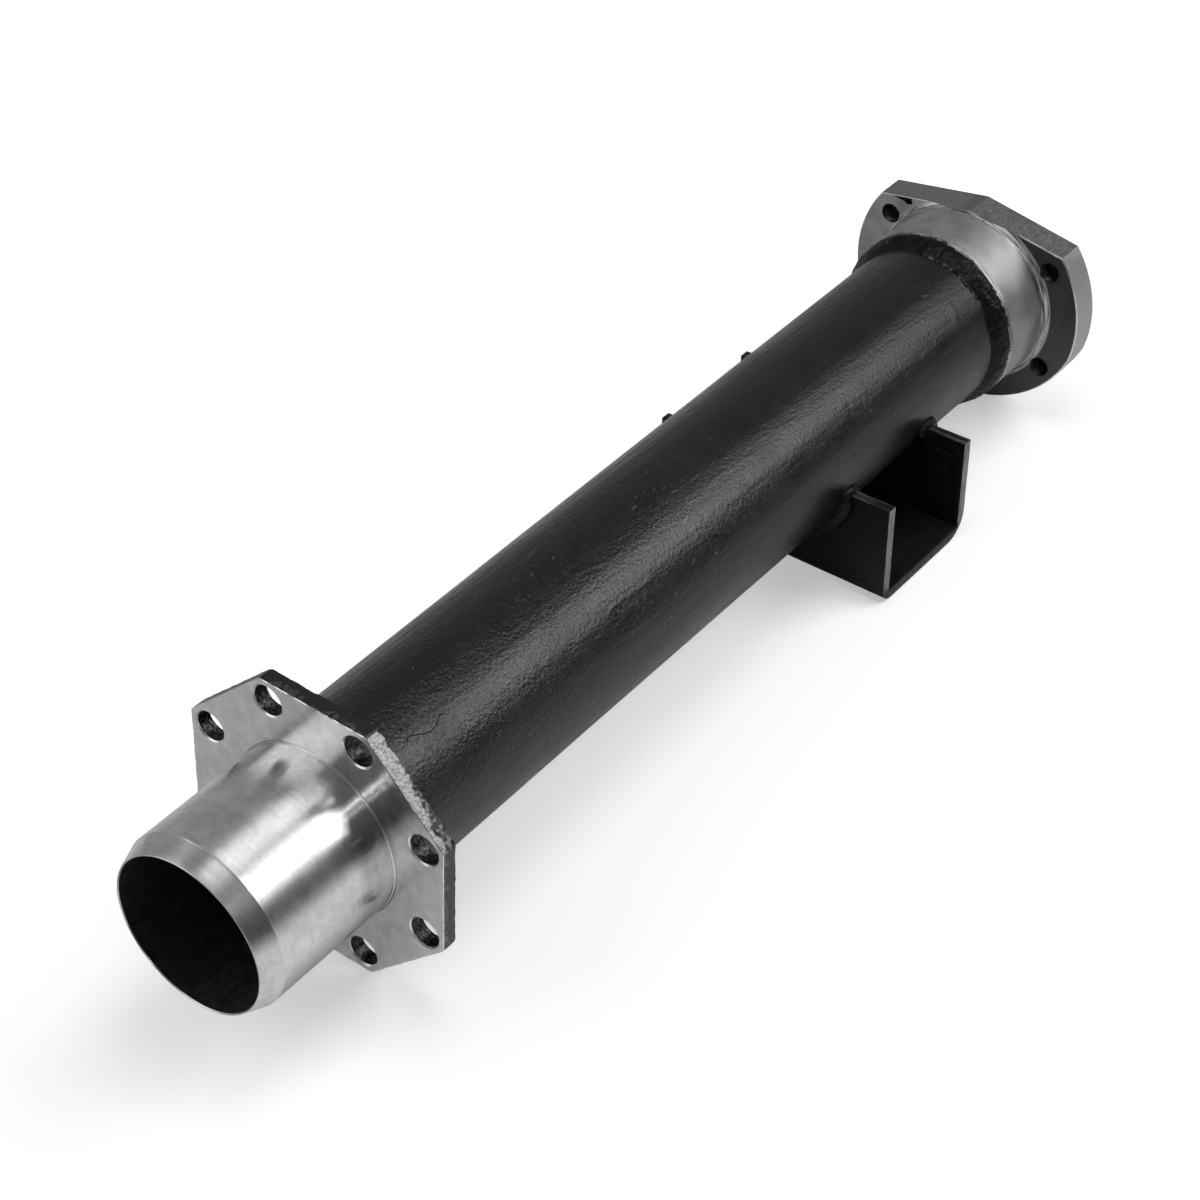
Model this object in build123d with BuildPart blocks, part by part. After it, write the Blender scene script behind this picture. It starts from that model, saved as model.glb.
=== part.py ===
from build123d import *
from math import asin, cos, degrees, isclose, radians, sin, sqrt
import os

# Axle housing for one side of a driven axle, in millimetres.
# The origin is on the tube's axis, in the mounting face of the octagonal flange.
# +X runs along the tube to the wheel end, +Z is up and +Y is to the left.

# Tube, with the spigot turned on its inner end
tube_od = 76.2
tube_wall = 4.8
tube_end_break = 1.0
spigot_turning = 0.8  # taken off the tube's radius
spigot_length = 68.0
spigot_taper_length = 9.3
spigot_lip = 0.7  # width of the end face that the taper leaves
flange_seat_step = 0.4  # by which the flange's seat stands above the spigot, on the radius

# Octagonal inner flange, with one bolt hole at each corner
flange_corners = 8
flange_thickness = 7.0
flange_play = 0.05  # between the seat and the flange's bore, on the radius
flange_turn = 2.2  # degrees that the octagon is welded on out of level
corner_round = 2.0
bolt_dia = 13.0
bolt_edge_break = 0.5
bolt_inner_web = 11.2  # metal between the spigot and each hole
bolt_corner_web = 3.45  # metal between each hole and its corner

# Outer flange: a collar that takes the tube, and a thick disc that takes the bearing
flange_spacing = 450.5  # mounting face to the near face of the disc
collar_wall = 4.0  # outside the tube's radius
collar_length = 30.9
collar_fillet = 4.0
disc_thickness = 14.0
stud_dia = 9.5
stud_offset = 7.04  # collar's surface to the hole centres
stud_angle = 31.12  # degrees above and below level
rim_web = 4.91  # metal between each hole and the rim
rim_chamfer = 1.0
belly_flattening = 4.5  # how far the underside falls short of the full circle
belly_extra_radius = 2.2
flat_lift = 0.3  # flats above the collar's surface
flat_tilt = 10.0  # degrees that each flat falls away from the middle
seat_wall = 6.1  # collar's surface to the bearing seat
seat_depth = 19.0
seat_chamfer = 1.0
bore_land = 7.5  # between the bearing seat and the tube's end
socket_play = 0.1  # between the tube and the collar, on the radius

# Saddle bracket: a channel bent from plate, across the underside of the tube
bracket_width = 65.3
bracket_thickness = 4.8
bracket_inside_corner = 0.8
bracket_near_bend = 2.2  # outside radius past the plate's thickness, at the leg nearer the spigot
bracket_far_corner_wall = 1.8  # metal left at the other bend, which is ground round
bracket_overhang = 20.9  # past the side of the tube
bracket_leg_height = 49.9
bracket_drop = 14.3  # tube's underside to the channel's floor
bracket_spacing = 90.0  # outer disc to the nearer leg
saddle_play = 0.3

# Weld beads
flange_weld_leg = 6.0
collar_weld_width = 9.0
bracket_weld_leg = 6.0
bracket_weld_wrap = 3.6  # reach of the weld past the faces of a leg, where it turns over the top

# Radii
tube_r = tube_od / 2
bore_r = tube_r - tube_wall
spigot_r = tube_r - spigot_turning
flange_seat_r = spigot_r + flange_seat_step
bolt_r = bolt_dia / 2
bolt_circle_r = spigot_r + bolt_inner_web + bolt_r
corner_r = bolt_circle_r + bolt_r + bolt_corner_web
collar_r = tube_r + collar_wall
flat_r = collar_r + flat_lift
stud_r = stud_dia / 2
stud_circle_r = collar_r + stud_offset
rim_r = stud_circle_r + stud_r + rim_web
belly_r = rim_r + belly_extra_radius
seat_r = collar_r - seat_wall

# Places along the tube
collar_x = flange_spacing - collar_length
outer_face_x = flange_spacing + disc_thickness
seat_x = outer_face_x - seat_depth
tube_end_x = seat_x - bore_land
bracket_outer_x = flange_spacing - bracket_spacing
bracket_inner_x = bracket_outer_x - bracket_width
bracket_mid_x = (bracket_inner_x + bracket_outer_x) / 2

# Heights and angles
bracket_base_z = -(tube_r + bracket_drop + bracket_thickness)
bracket_floor_z = bracket_base_z + bracket_thickness
bracket_top_z = bracket_base_z + bracket_leg_height
half_step = 360 / flange_corners / 2
first_corner = half_step + flange_turn


def radial_plane(angle):
    """Plane through the tube's axis, with its second direction at this angle from +Y towards +Z."""
    return Plane(
        origin=(0, 0, 0),
        x_dir=(1, 0, 0),
        z_dir=(0, -sin(radians(angle)), cos(radians(angle))),
    )


# Tube: straight bore, turned spigot and long taper that leads it into the centre housing
with BuildPart() as axle_tube:
    with BuildSketch(Plane.XZ):
        with BuildLine():
            Polyline(
                (-spigot_length, bore_r),
                (-spigot_length, bore_r + spigot_lip),
                (-spigot_length + spigot_taper_length, spigot_r),
                (0, spigot_r),
                (0, flange_seat_r),
                (flange_thickness, flange_seat_r),
                (flange_thickness, tube_r),
                (tube_end_x - tube_end_break, tube_r),
                (tube_end_x, tube_r - tube_end_break),
                (tube_end_x, bore_r),
                close=True,
            )
        make_face()
    revolve(axis=Axis.X)

# Inner flange: flame-cut octagon, pushed over the spigot against the tube's shoulder
with BuildPart() as inner_flange:
    with BuildSketch(Plane.YZ) as octagon:
        RegularPolygon(corner_r, flange_corners, rotation=first_corner)
        fillet(octagon.vertices(), corner_round)
        Circle(flange_seat_r + flange_play, mode=Mode.SUBTRACT)
        with PolarLocations(bolt_circle_r, flange_corners, start_angle=first_corner):
            Circle(bolt_r, mode=Mode.SUBTRACT)
    extrude(amount=flange_thickness)
    front_circles = inner_flange.edges().filter_by(GeomType.CIRCLE).group_by(Axis.X)[0]
    chamfer(front_circles.filter_by(lambda edge: isclose(edge.radius, bolt_r)), bolt_edge_break)

# Larger disc, set higher, whose rim flattens the underside of the outer flange
with BuildPart() as belly_disc:
    with BuildSketch(Plane.YZ.offset(flange_spacing)):
        with Locations((0, belly_r - rim_r + belly_flattening)):
            Circle(belly_r)
    extrude(amount=disc_thickness)
    chamfer(belly_disc.edges().group_by(Axis.X)[0], rim_chamfer)

# Outer flange: disc, turned round and then flattened below
with BuildPart() as outer_flange:
    with BuildSketch(Plane.YZ.offset(flange_spacing)):
        Circle(rim_r)
    extrude(amount=disc_thickness)
    chamfer(outer_flange.edges().group_by(Axis.X)[0], rim_chamfer)
    add(belly_disc.part, mode=Mode.INTERSECT)
    # Collar, and the fillet that runs it into the disc
    with BuildSketch(Plane.YZ.offset(collar_x)):
        Circle(collar_r)
    extrude(amount=collar_length)
    collar_root = outer_flange.edges().filter_by(GeomType.CIRCLE).filter_by(
        lambda edge: isclose(edge.radius, collar_r) and isclose(edge.center().X, flange_spacing)
    )
    fillet(collar_root, collar_fillet)
    # Two flats that meet on top, level with the collar, so that they slice through the fillet
    with BuildSketch(Plane.YZ.offset(flange_spacing - collar_fillet)):
        with BuildLine():
            side_z = (flat_r - rim_r * sin(radians(flat_tilt))) / cos(radians(flat_tilt))
            Polyline(
                (0, flat_r / cos(radians(flat_tilt))),
                (rim_r, side_z),
                (rim_r, rim_r),
                (-rim_r, rim_r),
                (-rim_r, side_z),
                close=True,
            )
        make_face()
    extrude(amount=collar_fillet + disc_thickness, mode=Mode.SUBTRACT)
    # Bearing seat, bore and socket for the tube, turned out as one stepped hole
    with BuildSketch(Plane.XZ):
        with BuildLine():
            Polyline(
                (collar_x, 0),
                (collar_x, tube_r + socket_play),
                (tube_end_x, tube_r + socket_play),
                (tube_end_x, bore_r),
                (seat_x, bore_r),
                (seat_x, seat_r),
                (outer_face_x - seat_chamfer, seat_r),
                (outer_face_x, seat_r + seat_chamfer),
                (outer_face_x, 0),
                close=True,
            )
        make_face()
    revolve(axis=Axis.X, mode=Mode.SUBTRACT)
    # Four holes for the studs that hold the brake backing plate
    with BuildSketch(Plane.YZ.offset(flange_spacing - collar_fillet)):
        stud_y = stud_circle_r * cos(radians(stud_angle))
        stud_z = stud_circle_r * sin(radians(stud_angle))
        with GridLocations(2 * stud_y, 2 * stud_z, 2, 2):
            Circle(stud_r)
    extrude(amount=collar_fillet + disc_thickness, mode=Mode.SUBTRACT)

# Saddle bracket: channel bent from one strip, its legs cut out to fit round the tube
with BuildPart() as saddle_bracket:
    with BuildSketch(Plane.XZ) as channel:
        with Locations((bracket_mid_x, bracket_base_z)):
            Rectangle(bracket_width, bracket_leg_height, align=(Align.CENTER, Align.MIN))
        near_corner = channel.vertices().group_by(Axis.Y)[0].sort_by(Axis.X)[0]
        fillet(near_corner, bracket_thickness + bracket_near_bend)
        far_corner = channel.vertices().group_by(Axis.Y)[0].sort_by(Axis.X)[-1]
        fillet(far_corner, (bracket_thickness * sqrt(2) - bracket_far_corner_wall) / (sqrt(2) - 1))
        with Locations((bracket_mid_x, bracket_floor_z)):
            Rectangle(
                bracket_width - 2 * bracket_thickness,
                bracket_leg_height,
                align=(Align.CENTER, Align.MIN),
                mode=Mode.SUBTRACT,
            )
        inside_corners = channel.vertices().filter_by(lambda vertex: isclose(vertex.Y, bracket_floor_z))
        fillet(inside_corners, bracket_inside_corner)
    extrude(amount=tube_r + bracket_overhang, both=True)
    with BuildSketch(Plane.YZ.offset(bracket_inner_x)):
        Circle(tube_r + saddle_play)
    extrude(amount=bracket_width, mode=Mode.SUBTRACT)

# Weld behind the inner flange
with BuildPart() as inner_flange_weld:
    with BuildSketch(Plane.XZ):
        with BuildLine():
            Polyline(
                (flange_thickness + flange_weld_leg, tube_r),
                (flange_thickness, tube_r),
                (flange_thickness, tube_r + flange_weld_leg),
                close=True,
            )
        make_face()
    revolve(axis=Axis.X)

# Weld between the tube and the outer flange's collar
with BuildPart() as outer_flange_weld:
    with BuildSketch(Plane.XZ):
        with BuildLine():
            Polyline(
                (collar_x - collar_weld_width, tube_r),
                (collar_x, tube_r),
                (collar_x, collar_r),
                close=True,
            )
        make_face()
    revolve(axis=Axis.X)

# Welds of the bracket: a bead under the tube on each leg's outer face, and a lump over each end of its top
top_angle = degrees(asin(bracket_top_z / tube_r))
top_y = sqrt(tube_r**2 - bracket_top_z**2)
bracket_welds = []
for face_x, outward in ((bracket_inner_x, -1), (bracket_outer_x, 1)):
    with BuildPart() as bracket_weld:
        with BuildSketch(radial_plane(180 - top_angle)):
            with BuildLine():
                Polyline(
                    (face_x + outward * bracket_weld_leg, tube_r),
                    (face_x, tube_r),
                    (face_x, tube_r + bracket_weld_leg),
                    close=True,
                )
            make_face()
        revolve(axis=Axis.X, revolution_arc=180 + 2 * top_angle)
        lump_x = face_x - outward * bracket_thickness / 2
        lump_r = bracket_thickness / 2 + bracket_weld_wrap
        with Locations((lump_x, -top_y, bracket_top_z), (lump_x, top_y, bracket_top_z)):
            Cylinder(lump_r, 2 * lump_r, rotation=(0, 90, 0))
        with BuildSketch(Plane.YZ.offset(bracket_inner_x - bracket_width)):
            Circle(tube_r)
        extrude(amount=3 * bracket_width, mode=Mode.SUBTRACT)
        add(saddle_bracket.part, mode=Mode.SUBTRACT)
    bracket_welds.append(bracket_weld.part)

os.makedirs("parts", exist_ok=True)
axle_tube.part.label = "axle_tube"
export_step(axle_tube.part, "parts/axle_tube.step")
inner_flange.part.label = "inner_flange"
export_step(inner_flange.part, "parts/inner_flange.step")
outer_flange.part.label = "outer_flange"
export_step(outer_flange.part, "parts/outer_flange.step")
saddle_bracket.part.label = "saddle_bracket"
export_step(saddle_bracket.part, "parts/saddle_bracket.step")
inner_flange_weld.part.label = "inner_flange_weld"
export_step(inner_flange_weld.part, "parts/inner_flange_weld.step")
outer_flange_weld.part.label = "outer_flange_weld"
export_step(outer_flange_weld.part, "parts/outer_flange_weld.step")
inner_leg_weld, outer_leg_weld = bracket_welds
inner_leg_weld.label = "inner_leg_weld"
export_step(inner_leg_weld, "parts/inner_leg_weld.step")
outer_leg_weld.label = "outer_leg_weld"
export_step(outer_leg_weld, "parts/outer_leg_weld.step")
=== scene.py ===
import bpy
import math
import numpy as np
from mathutils import Matrix, Vector
from mathutils.geometry import delaunay_2d_cdt


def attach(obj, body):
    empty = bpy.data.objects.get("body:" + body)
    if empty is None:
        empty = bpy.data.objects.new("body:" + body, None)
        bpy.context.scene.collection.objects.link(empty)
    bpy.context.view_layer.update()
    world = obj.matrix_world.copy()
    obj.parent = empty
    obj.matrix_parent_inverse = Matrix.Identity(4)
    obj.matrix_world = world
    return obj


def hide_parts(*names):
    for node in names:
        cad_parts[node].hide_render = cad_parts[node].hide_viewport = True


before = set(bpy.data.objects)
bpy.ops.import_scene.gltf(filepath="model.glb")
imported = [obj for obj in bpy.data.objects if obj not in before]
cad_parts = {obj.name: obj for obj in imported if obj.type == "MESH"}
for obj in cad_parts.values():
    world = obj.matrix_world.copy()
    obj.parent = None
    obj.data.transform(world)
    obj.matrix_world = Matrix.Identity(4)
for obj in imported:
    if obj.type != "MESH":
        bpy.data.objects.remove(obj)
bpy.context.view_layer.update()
scene = bpy.context.scene
scene.view_settings.view_transform = "Standard"
mm = 0.001
print("packed model loaded, nodes:", len(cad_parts))


# Noise for the surfaces, always the same for the same seed

def latticeValue(ix, iy, iz, seed):
    # a number between -1 and 1 for each corner of the lattice
    n = ix * 374761393 + iy * 668265263 + iz * 2147483647 + seed * 974711
    n = (n ^ (n >> 13)) * 1274126177
    n = n ^ (n >> 16)
    return (n & 0xFFFF) / 32767.5 - 1.0


def smoothNoise(p, seed):
    base = np.floor(p).astype(np.int64)
    f = p - base
    f = f * f * f * (f * (f * 6 - 15) + 10)
    total = 0.0
    for corner in np.ndindex(2, 2, 2):
        wx, wy, wz = (f[:, axis] if upper else 1 - f[:, axis] for axis, upper in enumerate(corner))
        total = total + wx * wy * wz * latticeValue(*(base + corner).T, seed)
    return total


def layeredNoise(points, size, layers, seed):
    # points in millimetres, size is the width of the largest lumps, one number or three along x, y and z
    p = np.asarray(points, float) / np.asarray(size, float)
    total, strength, shift, finer = 0.0, 1.0, 17.3, 2.03
    for layer in range(layers):
        total = total + strength * smoothNoise(p + shift * layer, seed + layer)
        p, strength = p * finer, strength / 2
    return total


# Meshes, all in millimetres until makeObject

def smooth(mesh, sharpAngle):
    mesh.shade_smooth()
    mesh.set_sharp_from_angle(angle=math.radians(sharpAngle))


def makeObject(name, verts, faces, materials, faceMaterials=None, sharpAngle=32):
    mesh = bpy.data.meshes.new(name)
    mesh.from_pydata([tuple(v) for v in (np.asarray(verts) * mm).tolist()], [], faces)
    for material in materials:
        mesh.materials.append(material)
    if faceMaterials is not None:
        mesh.polygons.foreach_set("material_index", np.asarray(faceMaterials, np.int32))
    mesh.validate()
    smooth(mesh, sharpAngle)
    piece = bpy.data.objects.new(name, mesh)
    scene.collection.objects.link(piece)
    return piece


def gridFaces(rows, columns, start=0, flip=False, ring=False, caps=False):
    # quads over a grid that is closed round its columns; ring joins its last row to the first, caps close both
    faces = []
    for i in range(rows if ring else rows - 1):
        up = columns if i < rows - 1 else -(rows - 1) * columns
        for j in range(columns):
            a, b = start + i * columns + j, start + i * columns + (j + 1) % columns
            faces.append((a, b, b + up, a + up))
    if caps:
        end = start + rows * columns
        faces += [tuple(range(start, start + columns))[::-1], tuple(range(end - columns, end))]
    return [face[::-1] for face in faces] if flip else faces


def turns(steps):
    return np.linspace(0, 2 * math.pi, steps, endpoint=False)


def around(x, radius, angles):
    # points at places along the tube, radii, and angles from +Y towards +Z
    x, radius, angles = np.broadcast_arrays(x, radius, angles)
    return np.stack([x, radius * np.cos(angles), radius * np.sin(angles)], 1)


def circle(y, z, radius, steps):
    return [(y + radius * math.cos(a), z + radius * math.sin(a)) for a in turns(steps)]


def revolve(name, profile, steps, materials, faceMaterials, sharpAngle=25):
    # profile is a closed list of (x, radius), faceMaterials gives the material of each stretch
    verts = np.concatenate([around(x, radius, turns(steps)) for x, radius in profile])
    faces = gridFaces(len(profile), steps, ring=True)
    return makeObject(name, verts, faces, materials, np.repeat(faceMaterials, steps), sharpAngle)


def solid(name, *outlines):
    # a closed block through outlines of (y, z) points, each with its place along the tube
    verts = [(x, y, z) for x, outline in outlines for y, z in outline]
    return makeObject(name, verts, gridFaces(len(outlines), len(outlines[0][1]), caps=True), [])


def applyModifiers(piece):
    graph = bpy.context.evaluated_depsgraph_get()
    mesh = bpy.data.meshes.new_from_object(piece.evaluated_get(graph))
    old = piece.data
    piece.modifiers.clear()
    piece.data = mesh
    bpy.data.meshes.remove(old)


def cutWith(piece, cutter, operation="DIFFERENCE"):
    cut = piece.modifiers.new("cut", "BOOLEAN")
    cut.operation, cut.solver, cut.object = operation, "EXACT", cutter
    applyModifiers(piece)
    bpy.data.objects.remove(cutter)


def vertexArray(piece):
    co = np.zeros(len(piece.data.vertices) * 3)
    piece.data.vertices.foreach_get("co", co)
    return co.reshape(-1, 3) / mm


def setVertices(piece, points):
    piece.data.vertices.foreach_set("co", (np.asarray(points) * mm).ravel())
    piece.data.update()


# Shader nodes, each in the tree that the outputs given to it belong to

def isOutput(value):
    return isinstance(value, bpy.types.NodeSocket)


def treeOf(*values):
    return next(value.id_data for value in values if isOutput(value))


def feed(socket, value):
    if isOutput(value):
        treeOf(socket).links.new(value, socket)
    else:
        socket.default_value = value


def place(tree, kind, *values, **named):
    # values go to the first inputs; a named one is a setting of the node, or the input of that name
    node = tree.nodes.new("ShaderNode" + kind)
    for key, value in named.items():
        if hasattr(node, key):
            setattr(node, key, value)
        else:
            feed(node.inputs[key.replace("_", " ")], value)
    for socket, value in zip(node.inputs, values):
        feed(socket, value)
    return node


def maths(operation, *values):
    return place(treeOf(*values), "Math", *values, operation=operation).outputs[0]


def times(first, *others):
    for other in others:
        first = maths("MULTIPLY", first, other)
    return first


def vectorMaths(operation, a, b):
    node = place(treeOf(a, b), "VectorMath", a, b, operation=operation)
    return node.outputs["Value" if operation == "DISTANCE" else "Vector"]


def split(vector):
    return place(treeOf(vector), "SeparateXYZ", vector).outputs


def remap(value, low, high, toLow=0.0, toHigh=1.0):
    numbers = (low, high, toLow, toHigh)
    return place(treeOf(value), "MapRange", value, *numbers, interpolation_type="SMOOTHSTEP").outputs[0]


def mix(factor, a, b, kind="RGBA"):
    node = place(treeOf(factor), "Mix", factor, data_type=kind)
    first, out = (6, 2) if kind == "RGBA" else (2, 0)  # where the node keeps colours, and plain numbers
    feed(node.inputs[first], a)
    feed(node.inputs[first + 1], b)
    return node.outputs[out]


def grey(level):
    return (level, level, level * 1.01, 1.0)


def layered(tone, *layers):
    # each layer is a mask and the grey that it lays over the tone
    for mask, level in layers:
        tone = mix(mask, tone, grey(level))
    return tone


def noise(vector, scale, detail=3.0, rough=0.55, **named):
    # scale is in features per metre, one number or three along x, y and z
    if isinstance(scale, tuple):
        vector, scale = vectorMaths("MULTIPLY", vector, scale), 1.0
    named.update(Vector=vector, Scale=scale, Detail=detail, Roughness=rough)
    return place(treeOf(vector), "TexNoise", **named).outputs[0]


def newGroup(name, inputs, outputs):
    # inputs are names with their usual numbers, or with None for a vector
    group = bpy.data.node_groups.new(name, "ShaderNodeTree")
    for key, value in inputs.items():
        kind = "NodeSocketVector" if value is None else "NodeSocketFloat"
        socket = group.interface.new_socket(key, in_out="INPUT", socket_type=kind)
        if value is not None:
            socket.default_value = value
    for key in outputs:
        group.interface.new_socket(key, in_out="OUTPUT", socket_type="NodeSocketFloat")
    return group, group.nodes.new("NodeGroupInput").outputs, group.nodes.new("NodeGroupOutput").inputs


def buildPaintSkin():
    # sprayed paint over a drawn tube: orange peel, flow lines, small wrinkles, dust and hairline scratches,
    # with the height in millimetres
    tree, given, made = newGroup(
        "paintSkin",
        {"Position": None, "Peel Scale": 700.0, "Peel": 0.10, "Flow": 0.07, "Wrinkle": 0.05, "Dust": 0.05},
        ("Height", "Tone", "Dust", "Scratch"))
    spot = given["Position"]

    def turned(*degrees):
        # the flow lines and scratches lie a little askew on the tube
        rotation = [math.radians(angle) for angle in degrees]
        return place(tree, "Mapping", spot, vector_type="POINT", Rotation=rotation).outputs[0]

    flow = noise(turned(0, 3, 6), (34.0, 430.0, 430.0), 2.0, 0.6)
    worm = noise(spot, 340.0, 1.0, 0.5, Distortion=0.9)
    crease = remap(maths("ABSOLUTE", maths("SUBTRACT", worm, 0.5)), 0.0, 0.035, 1.0, 0.0)
    creased = times(crease, remap(noise(spot, 42.0, 3.0, 0.6), 0.45, 0.6))
    cells = place(tree, "TexVoronoi", spot, feature="F1", Scale=120.0).outputs
    chosen = maths("GREATER_THAN", place(tree, "SeparateColor", cells["Color"]).outputs[0], 0.82)
    dust = times(chosen, maths("LESS_THAN", cells["Distance"], given["Dust"]))
    hair = noise(turned(0, -9, -16), (26.0, 900.0, 900.0), 1.0, 0.5)
    hairPatch = remap(noise(spot, 16.0, 1.0, 0.5), 0.52, 0.66)
    height = times(noise(spot, given["Peel Scale"], 3.0, 0.6), given["Peel"])
    for relief, strength in ((flow, given["Flow"]), (creased, given["Wrinkle"]), (dust, 0.08)):
        height = maths("MULTIPLY_ADD", relief, strength, height)
    feed(made["Height"], height)
    feed(made["Tone"], noise(spot, 38.0, 3.0, 0.6))
    feed(made["Dust"], dust)
    feed(made["Scratch"], times(remap(hair, 0.70, 0.76), hairPatch))
    return tree


def buildToolMarks():
    # turned metal: fine rings left by the tool, crossed by soft clouds and small stains
    # Feed is the coordinate that the tool moves along, in metres, and Rings is how many it leaves in one
    tree, given, made = newGroup(
        "toolMarks", {"Position": None, "Feed": 0.0, "Rings": 3200.0, "Bands": 0.4, "Cloud Scale": 34.0},
        ("Height", "Tone", "Stain"))
    rings, bands = (
        place(tree, "TexNoise", noise_dimensions="1D", W=times(given["Feed"], given["Rings"]),
              Scale=scale, Detail=3.0, Roughness=0.7).outputs[0] for scale in (1.0, 0.16))
    clouds = noise(given["Position"], given["Cloud Scale"], 2.0, 0.5)
    feed(made["Height"], rings)
    feed(made["Tone"], mix(given["Bands"], clouds, bands, "FLOAT"))
    feed(made["Stain"], noise(given["Position"], 210.0, 4.0, 0.7))
    return tree


paintSkin = buildPaintSkin()
toolMarks = buildToolMarks()


# Materials

def startMaterial(name):
    material = bpy.data.materials.new(name)
    material.use_nodes = True
    tree = material.node_tree
    return material, tree, place(tree, "NewGeometry").outputs["Position"]


def facingUp(tree, low, high):
    # a mask from how far the surface looks upwards
    return remap(split(place(tree, "NewGeometry").outputs["Normal"])[2], low, high)


def finishMaterial(material, tone, roughness, height, depth, **others):
    # others are further inputs of the shader
    tree = material.node_tree
    shader = tree.nodes["Principled BSDF"]
    bump = place(tree, "Bump", Strength=1.0, Distance=depth, Height=height).outputs[0]
    for key, value in {"Base_Color": tone, "Roughness": roughness, "Normal": bump, **others}.items():
        feed(shader.inputs[key.replace("_", " ")], value)
    return material


# a reach is a stretch along or across the tube in metres, over which something fades in
paintLook = {
    "tube": {"colour": 0.0045, "rough": 0.285, "shine": 0.5, "peel": 0.36, "farPeel": 0.12, "flow": 0.15,
             "farFlow": 0.65, "dulling": 0.035, "wrinkle": 0.03, "peelReach": (0.05, 0.38),
             "flowReach": (0.006, 0.026), "dullReach": (0.06, 0.39)},
    "bracket": {"colour": 0.0022, "rough": 0.50, "shine": 0.24, "peel": 0.08, "flow": 0.0, "wrinkle": 0.0},
    "weld": {"colour": 0.0022, "rough": 0.36, "shine": 0.17, "peel": 0.30, "flow": 0.0, "wrinkle": 0.05},
    "dust": 0.07, "scratch": 0.10,
    "wornTop": 0.06, "wornReach": (-0.014, -0.011),
    # the chips lie between the toe's reach and its end, and between the near side's
    "chipped": 0.16, "toeReach": (0.4060, 0.4090), "toeEnd": (0.4122, 0.4108),
    "nearReach": (-0.034, -0.026), "nearEnd": (0.002, -0.006), "upReach": (0.0, 0.01),
}


def blackPaint(kind):
    look = paintLook[kind]
    material, tree, spot = startMaterial(kind + "Paint")
    x, y, z = split(spot)
    peel, flow = look["peel"], look["flow"]
    if kind == "tube":
        # the peel gets flatter towards the outer end, and the flow lines stronger round the far side
        peel = remap(x, *look["peelReach"], peel, look["farPeel"])
        flow = remap(y, *look["flowReach"], flow, look["farFlow"])
    skin = place(tree, "Group", node_tree=paintSkin, Position=spot, Peel=peel, Flow=flow,
                 Wrinkle=look["wrinkle"]).outputs
    tone = mix(skin["Tone"], grey(look["colour"] * 0.6), grey(look["colour"] * 1.5))
    layers = [(skin["Dust"], paintLook["dust"]), (skin["Scratch"], paintLook["scratch"])]
    if kind == "bracket":
        # the paint is thin along the tops of the legs
        streak = remap(noise(spot, (900.0, 60.0, 300.0)), 0.47, 0.60)
        worn = times(facingUp(tree, 0.5, 0.9), remap(z, *paintLook["wornReach"]), streak)
        layers.append((worn, paintLook["wornTop"]))
    if kind == "weld":
        # paint is lost in splashes along the toe of the collar's weld, mostly on the near side of its top
        spots = remap(noise(spot, 170.0, 6.0, 0.75), 0.49, 0.56)
        for value, reach in ((x, "toeReach"), (x, "toeEnd"), (y, "nearReach"), (y, "nearEnd"), (z, "upReach")):
            spots = times(spots, remap(value, *paintLook[reach]))
        layers.append((spots, paintLook["chipped"]))
    roughness = remap(skin["Tone"], 0.3, 0.7, look["rough"] - 0.04, look["rough"] + 0.06)
    if kind == "tube":
        # the paint gets duller towards the outer end
        duller = remap(x, *look["dullReach"], -look["dulling"], look["dulling"])
        roughness = maths("ADD", roughness, duller)
    return finishMaterial(material, layered(tone, *layers), roughness, skin["Height"], mm,
                          Specular_IOR_Level=look["shine"])


# depth is in millimetres, streaks are the stretches where the tool left coarse rings, and the turning of the
# spigot gets finer over its last reach
steelLook = {
    "spigot": {"colour": 0.69, "rough": 0.37, "brushed": 0.72, "rings": 3200.0, "depth": 0.004, "cloud": 0.09,
               "bands": 0.3, "clouds": 60.0, "mottle": 0.28, "finer": 0.17, "finerReach": (-0.036, -0.006),
               # the darker bottom of the spigot is painted shade
               "underside": 0.45, "underReach": (0.004, -0.020)},
    "ridge": {"colour": 0.62, "rough": 0.30, "brushed": 0.60, "rings": 3200.0, "depth": 0.006, "cloud": 0.08,
              "bands": 0.4, "clouds": 34.0, "mottle": 0.28},
    "face": {"colour": 0.62, "rough": 0.18, "brushed": 0.85, "rings": 2600.0, "depth": 0.003, "cloud": 0.11,
             "bands": 0.2, "clouds": 150.0, "mottle": 0.14},
    "collar": {"colour": 0.40, "rough": 0.54, "brushed": 0.35, "rings": 1300.0, "depth": 0.002, "cloud": 0.11,
               "bands": 0.04, "clouds": 110.0, "streaks": ((0.4175, 0.4235), (0.4462, 0.4510)),
               "streakDepth": 0.10, "streakLight": 0.72, "streakDark": 0.10, "paintReach": (0.4196, 0.4218)},
    "nearFace": {"colour": 0.25, "rough": 0.30, "brushed": 0.30, "rings": 1500.0, "depth": 0.002,
                 # the near face's darker side is painted shade, and its light edge lines are painted
                 # highlights
                 "cloud": 0.22, "bands": 0.1, "clouds": 90.0, "stained": 0.125, "stainReach": (0.020, -0.020),
                 "edgeLine": 0.7, "edgeReach": (0.0418, 0.0420), "edgeTilt": 10.0},
}


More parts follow.
